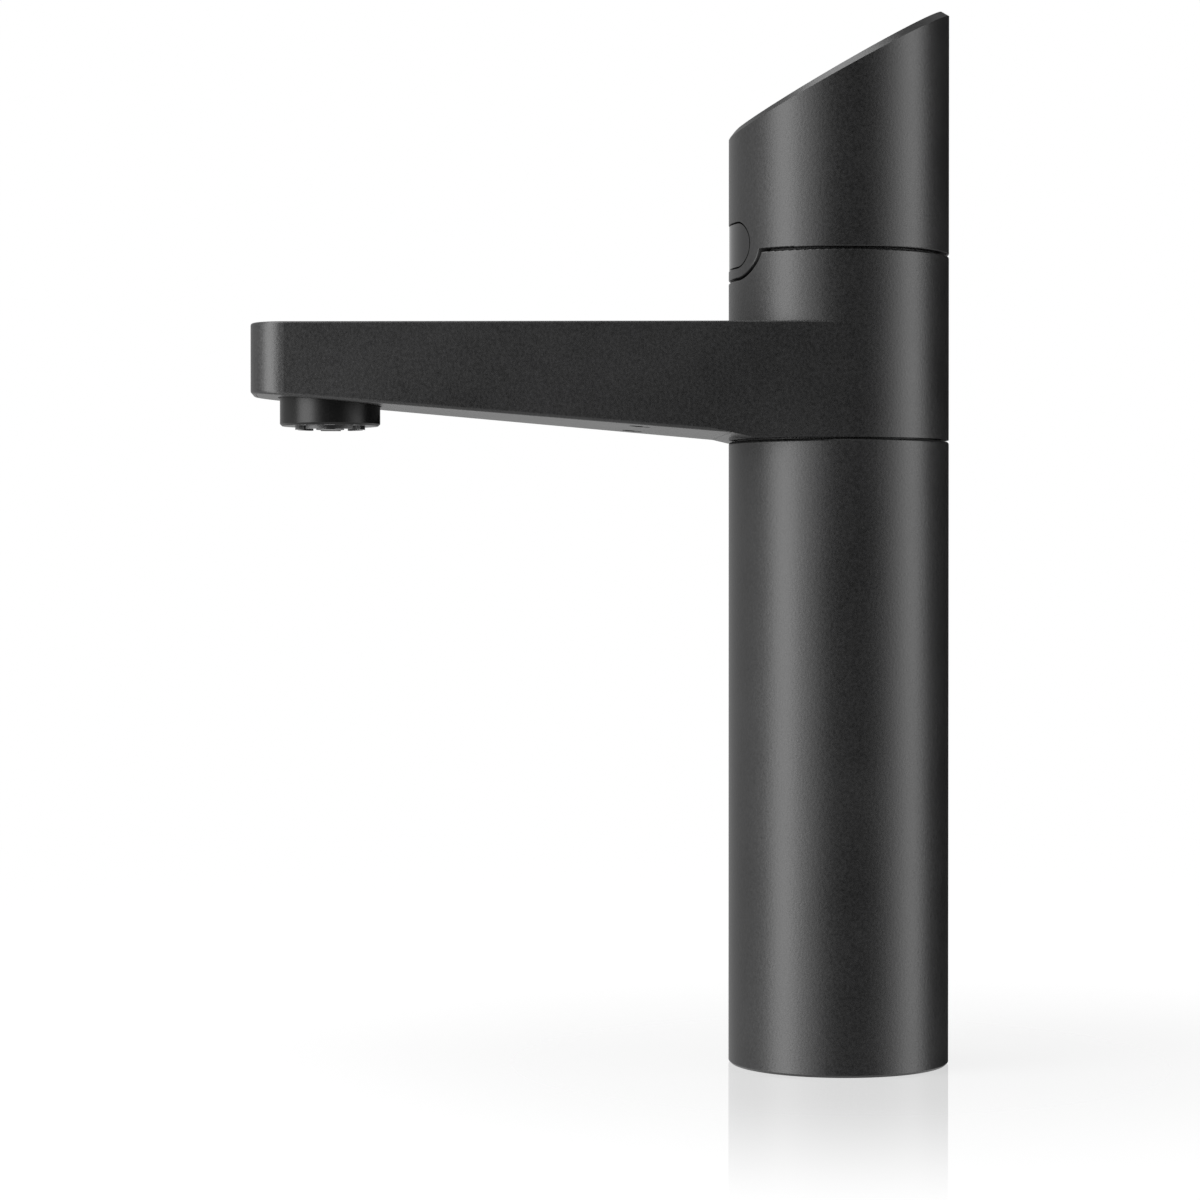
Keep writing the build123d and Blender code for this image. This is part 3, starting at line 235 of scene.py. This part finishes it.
def turned(name, dark, light, rough, line_pitch):
    """Bare metal whose colour and roughness follow the tool lines."""
    finish, tree, shader, place = fresh_finish(name)
    lines = tree.nodes.new("ShaderNodeGroup")
    lines.node_tree = tool_lines
    lines.inputs["Pitch"].default_value = line_pitch
    wire(tree, place, "Object", lines, "Position")
    tone = two_tones(tree, dark, light, LINE_SPAN)
    wire(tree, lines, "Line", tone, "Fac")
    wire(tree, tone, "Color", shader, "Base Color")
    polish = remap(tree, LINE_SPAN, rough)
    wire(tree, lines, "Line", polish, "Value")
    wire(tree, polish, "Result", shader, "Roughness")
    relief_from(tree, lines, "Line", shader, LINE_STRENGTH, LINE_DEPTH)
    shader.inputs["Metallic"].default_value = 1.0
    return finish


brass_turned = turned(
    "brass_turned",
    dark=(0.55, 0.38, 0.16),
    light=(0.78, 0.6, 0.31),
    rough=(0.24, 0.4),
    line_pitch=900.0,
)
wear_finish(
    brass_turned,
    "mounting_base",
    "stem",
    "chilled_inlet",
    "sparkling_inlet",
    "chilled_drill_plug",
    "sparkling_drill_plug",
    "bearing_carrier",
    "column_clamp_nut",
    "retaining_nut",
    "outlet_manifold",
)

steel_drawn = turned(
    "steel_drawn",
    dark=(0.46, 0.46, 0.47),
    light=(0.66, 0.66, 0.67),
    rough=(0.22, 0.38),
    line_pitch=1100.0,
)
wear_finish(
    steel_drawn,
    "water_tube",
    "cable_conduit",
    "stop_pin",
    "retaining_washer",
    "carrier_screw_left",
    "carrier_screw_right",
    "flow_screen",
)

# Blackened screws
# Two steel grub screws at the back, one for the column and one for the cap, and the two
# countersunk screws that hold the underside plate.
screw_black = turned(
    "screw_black",
    dark=(0.03, 0.03, 0.031),
    light=(0.07, 0.07, 0.072),
    rough=(0.3, 0.45),
    line_pitch=1400.0,
)
wear_finish(
    screw_black, "column_screw", "shell_lock_screw", "plate_screw_left", "plate_screw_right"
)

# Slip ring, core, frame and socket
# Moulded polymer pieces: a slippery ring under the collar and the cores in the head.
ring_moulding = coated(
    "ring_moulding",
    dark=(0.006, 0.006, 0.006),
    light=(0.012, 0.012, 0.012),
    rough=(0.45, 0.55),
    fine_scale=1500.0,
    depth=0.00001,
    specular=0.4,
)
wear_finish(ring_moulding, "slip_ring")

core_moulding = coated(
    "core_moulding",
    dark=(0.006, 0.006, 0.006),
    light=(0.014, 0.014, 0.014),
    rough=(0.5, 0.6),
    fine_scale=1500.0,
    depth=0.00002,
    specular=0.35,
)
wear_finish(core_moulding, "head_carrier", "pad_frame", "cable_socket")

# Seals and cable
# Black rubber rings with a dull bloom, and the soft grey jacket of the control lead.
seal_rubber = coated(
    "seal_rubber",
    dark=(0.012, 0.012, 0.012),
    light=(0.026, 0.026, 0.026),
    rough=(0.55, 0.7),
    fine_scale=2600.0,
    depth=0.00002,
    specular=0.35,
)
wear_finish(
    seal_rubber,
    "worktop_gasket",
    "cable_grommet",
    "stem_foot_seal",
    "stem_lower_seal",
    "stem_upper_seal",
    "outlet_washer",
)

cable_jacket = coated(
    "cable_jacket",
    dark=(0.04, 0.04, 0.042),
    light=(0.06, 0.06, 0.062),
    rough=(0.45, 0.6),
    fine_scale=2000.0,
    depth=0.00002,
    specular=0.4,
)
wear_finish(cable_jacket, "control_cable", "board_lead", "front_lead")

# Control boards and push switches
# Green lacquered boards and the small moulded switches soldered to them.
board_lacquer = coated(
    "board_lacquer",
    dark=(0.01, 0.09, 0.035),
    light=(0.02, 0.15, 0.06),
    rough=(0.18, 0.3),
    fine_scale=700.0,
    depth=0.00001,
    specular=0.5,
)
wear_finish(board_lacquer, "control_board", "front_board")

switch_moulding = coated(
    "switch_moulding",
    dark=(0.12, 0.12, 0.12),
    light=(0.2, 0.2, 0.2),
    rough=(0.35, 0.45),
    fine_scale=1800.0,
    depth=0.00001,
    specular=0.5,
)
wear_finish(switch_moulding, "chilled_switch", "sparkling_switch", "front_switch")

# Floor
# Plain white table with a clear gloss that mirrors the foot and fades out. Most of its tone is
# its own light, so it keeps only a soft shadow. The tap sees TABLE_LEVEL of the studio instead.
FLOOR_HALF = 6.0
FLOOR_CELLS = 8
FLOOR_MOTTLE = 3.0
GLOSS_SHARE = 0.31
GLOSS_FADE = (0.05, 0.215)
GLOW_SHARE = (0.88, 1.0)
GLOW_REACH = (0.1, 0.7)


def sheet_mesh(name, half, cells, height):
    """Flat square grid: x and y run evenly between minus and plus the half."""
    line = np.linspace(-half, half, cells + 1)
    across, along = np.meshgrid(line, line)
    points = np.stack([across, along, np.full_like(across, height)], axis=-1).reshape(-1, 3)
    row, column = np.meshgrid(np.arange(cells), np.arange(cells), indexing="ij")
    corner = (row * (cells + 1) + column).ravel()
    faces = np.stack([corner, corner + 1, corner + cells + 2, corner + cells + 1], axis=1)
    mesh = bpy.data.meshes.new(name)
    mesh.from_pydata(points.tolist(), [], faces.tolist())
    sheet = bpy.data.objects.new(name, mesh)
    bpy.context.scene.collection.objects.link(sheet)
    return sheet


floor = sheet_mesh("floor", FLOOR_HALF, FLOOR_CELLS, 0.0)
floor_finish, tree, shader, place = fresh_finish("floor_finish")
mottle = tree.nodes.new("ShaderNodeTexNoise")
mottle.inputs["Scale"].default_value = FLOOR_MOTTLE
wire(tree, place, "Object", mottle, "Vector")
tone = two_tones(tree, (0.86, 0.86, 0.86), (0.88, 0.88, 0.88))
wire(tree, mottle, "Fac", tone, "Fac")
wire(tree, tone, "Color", shader, "Base Color")
shader.inputs["Roughness"].default_value = 1.0
shader.inputs["Specular IOR Level"].default_value = 0.0
glow = tree.nodes.new("ShaderNodeEmission")
glow.inputs["Color"].default_value = (1.0, 1.0, 1.0, 1.0)
glow.inputs["Strength"].default_value = 1.0
sheen = tree.nodes.new("ShaderNodeBsdfGlossy")
sheen.inputs["Roughness"].default_value = 0.0
from_foot = calculation(tree, "LENGTH", "ShaderNodeVectorMath")
wire(tree, place, "Object", from_foot, 0)
spread = remap(tree, GLOW_REACH, GLOW_SHARE, eased=True)
wire(tree, from_foot, "Value", spread, "Value")
paper = tree.nodes.new("ShaderNodeMixShader")
wire(tree, spread, "Result", paper, "Fac")
wire(tree, shader, "BSDF", paper, 1)
wire(tree, glow, "Emission", paper, 2)
fade = remap(tree, GLOSS_FADE, (GLOSS_SHARE, 0.0), eased=True)
wire(tree, from_foot, "Value", fade, "Value")
mixed = tree.nodes.new("ShaderNodeMixShader")
wire(tree, fade, "Result", mixed, "Fac")
wire(tree, paper, "Shader", mixed, 1)
wire(tree, sheen, "BSDF", mixed, 2)
wire(tree, mixed, "Shader", tree.nodes["Material Output"], "Surface")
floor.data.materials.append(floor_finish)
floor.visible_glossy = False
floor.visible_diffuse = False
floor.visible_shadow = False

# Camera
# Long lens at the tap's mid height, looking almost square at its side.
CAMERA_AZIMUTH = 86.5
CAMERA_DISTANCE = 0.82541
CAMERA_SIDE = -0.05868
CAMERA_HEIGHT = 0.12205
CAMERA_PITCH = 0.57
FOCAL_PIXELS = 3352.9
IMAGE_PIXELS = 1200.0
SENSOR_WIDTH = 36.0


def placement(right, up, back, spot):
    """Matrix that stands an object on a spot with its three axes as given."""
    matrix = Matrix((right, up, back)).transposed().to_4x4()
    matrix.translation = spot
    return matrix


turn = math.radians(CAMERA_AZIMUTH)
towards = Vector((math.sin(turn), -math.cos(turn), 0.0))
rightwards = Vector((math.cos(turn), math.sin(turn), 0.0))
pitch = math.radians(CAMERA_PITCH)
forwards = -towards * math.cos(pitch) - Vector((0.0, 0.0, math.sin(pitch)))
upwards = rightwards.cross(forwards)
lens = bpy.data.cameras.new("camera")
lens.sensor_fit = "HORIZONTAL"
lens.sensor_width = SENSOR_WIDTH
lens.lens = SENSOR_WIDTH * FOCAL_PIXELS / IMAGE_PIXELS
lens.clip_start = 0.01
camera = bpy.data.objects.new("camera", lens)
bpy.context.scene.collection.objects.link(camera)
camera_spot = towards * CAMERA_DISTANCE + rightwards * CAMERA_SIDE
camera_spot.z = CAMERA_HEIGHT
camera.matrix_world = placement(rightwards, upwards, -forwards, camera_spot)
bpy.context.scene.camera = camera

# Studio
# A tall softbox on the left, a far ring of light that is brightest on the right, a small
# light high up on the left, a dim ceiling, and white behind everything the camera sees.

# RING gives the far light's level round the tap: degrees from the line to the camera, positive
# towards the right of the picture, and the level there, where 1 is white.
RING = (
    (-180.0, 0.7),
    (-152.0, 0.6),
    (-120.0, 0.55),
    (-90.0, 0.9),
    (-80.0, 0.45),
    (-70.0, 0.2),
    (-62.0, 0.9),
    (-54.0, 1.95),
    (-46.0, 2.15),
    (-30.0, 2.15),
    (-22.0, 1.4),
    (-14.0, 0.05),
    (-8.0, 0.0),
    (36.0, 0.0),
    (50.0, 0.8),
    (66.0, 2.2),
    (74.0, 3.65),
    (82.0, 4.95),
    (90.0, 4.25),
    (98.0, 0.9),
    (106.0, 0.0),
    (168.0, 0.0),
    (180.0, 0.7),
)
RING_TOP = 5.0
CEILING_LEVEL = 0.4
TABLE_LEVEL = 0.8
CEILING_EDGE = (0.4, 0.7)
TABLE_EDGE = (-0.25, -0.45)
BACKDROP_LEVEL = 1.0
SKYLIGHT_LEVEL = 5.0
SKYLIGHT_ANGLE = -84.0
SKYLIGHT_HEIGHT = 66.0
SKYLIGHT_EDGE = (0.89, 0.97)
SOFTBOX_ANGLE = -58.5
SOFTBOX_DISTANCE = 0.4
SOFTBOX_WIDTH = 0.2
SOFTBOX_HEIGHT = 1.0
SOFTBOX_MIDDLE = 0.25
SOFTBOX_LEVEL = 3.75
WATTS_AT_WHITE = 4.0  # on each square metre of a softbox whose level is 1
facing = Vector((camera_spot.x, camera_spot.y, 0.0)).normalized()
sideways = Vector((-facing.y, facing.x, 0.0))


def heading(degrees):
    """Level direction away from the tap, turned from the line to the camera."""
    swing = math.radians(degrees)
    return facing * math.cos(swing) + sideways * math.sin(swing)


def lean_to(tree, amount, amount_output, value, value_output, target):
    """Mix node that takes a value towards a fixed level by an amount from 0 to 1."""
    mix = tree.nodes.new("ShaderNodeMix")
    mix.data_type = "FLOAT"
    wire(tree, amount, amount_output, mix, 0)
    wire(tree, value, value_output, mix, 2)
    mix.inputs[3].default_value = target
    return mix


def along_direction(tree, place, direction):
    """Dot product of the ray's direction with a fixed one."""
    node = calculation(tree, "DOT_PRODUCT", "ShaderNodeVectorMath")
    node.inputs[1].default_value = direction
    wire(tree, place, "Generated", node, 0)
    return node


softbox = bpy.data.lights.new("softbox", "AREA")
softbox.shape = "RECTANGLE"
softbox.size = SOFTBOX_WIDTH
softbox.size_y = SOFTBOX_HEIGHT
softbox.energy = WATTS_AT_WHITE * SOFTBOX_LEVEL * SOFTBOX_WIDTH * SOFTBOX_HEIGHT
lamp = bpy.data.objects.new("softbox", softbox)
bpy.context.scene.collection.objects.link(lamp)
outwards = heading(SOFTBOX_ANGLE)
level_across = Vector((-outwards.y, outwards.x, 0.0))
softbox_spot = outwards * SOFTBOX_DISTANCE
softbox_spot.z = SOFTBOX_MIDDLE
lamp.matrix_world = placement(level_across, Vector((0.0, 0.0, 1.0)), outwards, softbox_spot)
lamp.visible_camera = False

world = bpy.data.worlds.new("studio")
world.use_nodes = True
bpy.context.scene.world = world
tree = world.node_tree
tree.nodes.clear()
surround = tree.nodes.new("ShaderNodeBackground")
surface = tree.nodes.new("ShaderNodeOutputWorld")
wire(tree, surround, "Background", surface, "Surface")
place = tree.nodes.new("ShaderNodeTexCoord")
ahead = along_direction(tree, place, facing)
beside = along_direction(tree, place, sideways)
round_angle = calculation(tree, "ARCTAN2")
wire(tree, beside, "Value", round_angle, 0)
wire(tree, ahead, "Value", round_angle, 1)
share = remap(tree, (-math.pi, math.pi))
wire(tree, round_angle, "Value", share, "Value")
ring = tree.nodes.new("ShaderNodeValToRGB")
ring.color_ramp.interpolation = "EASE"
for angle, _ in RING[1:-1]:
    ring.color_ramp.elements.new((angle + 180.0) / 360.0)
for stop, (_, amount) in zip(ring.color_ramp.elements, RING):
    stop.color = (amount / RING_TOP, amount / RING_TOP, amount / RING_TOP, 1.0)
wire(tree, share, "Result", ring, "Fac")
lift = calculation(tree, "MULTIPLY")
lift.inputs[1].default_value = RING_TOP
wire(tree, ring, "Color", lift, 0)
height = tree.nodes.new("ShaderNodeSeparateXYZ")
wire(tree, place, "Generated", height, "Vector")
ceiling = remap(tree, CEILING_EDGE, eased=True)
wire(tree, height, "Z", ceiling, "Value")
level = lean_to(tree, ceiling, "Result", lift, "Value", CEILING_LEVEL)
table = remap(tree, TABLE_EDGE, eased=True)
wire(tree, height, "Z", table, "Value")
below = lean_to(tree, table, "Result", level, 0, TABLE_LEVEL)
climb = math.radians(SKYLIGHT_HEIGHT)
skylight = heading(SKYLIGHT_ANGLE) * math.cos(climb)
skylight.z = math.sin(climb)
aimed = along_direction(tree, place, skylight)
patch = remap(tree, SKYLIGHT_EDGE, (0.0, SKYLIGHT_LEVEL), eased=True)
wire(tree, aimed, "Value", patch, "Value")
total = calculation(tree, "ADD")
wire(tree, below, 0, total, 0)
wire(tree, patch, "Result", total, 1)
ray = tree.nodes.new("ShaderNodeLightPath")
seen = calculation(tree, "MAXIMUM")
wire(tree, ray, "Is Camera Ray", seen, 0)
wire(tree, ray, "Is Transmission Ray", seen, 1)
mirrored = calculation(tree, "MAXIMUM")
wire(tree, seen, "Value", mirrored, 0)
wire(tree, ray, "Is Singular Ray", mirrored, 1)
final = lean_to(tree, mirrored, "Value", total, "Value", BACKDROP_LEVEL)
wire(tree, final, 0, surround, "Strength")
surround.inputs["Color"].default_value = (1.0, 1.0, 1.0, 1.0)

bpy.context.scene.view_settings.view_transform = "Standard"
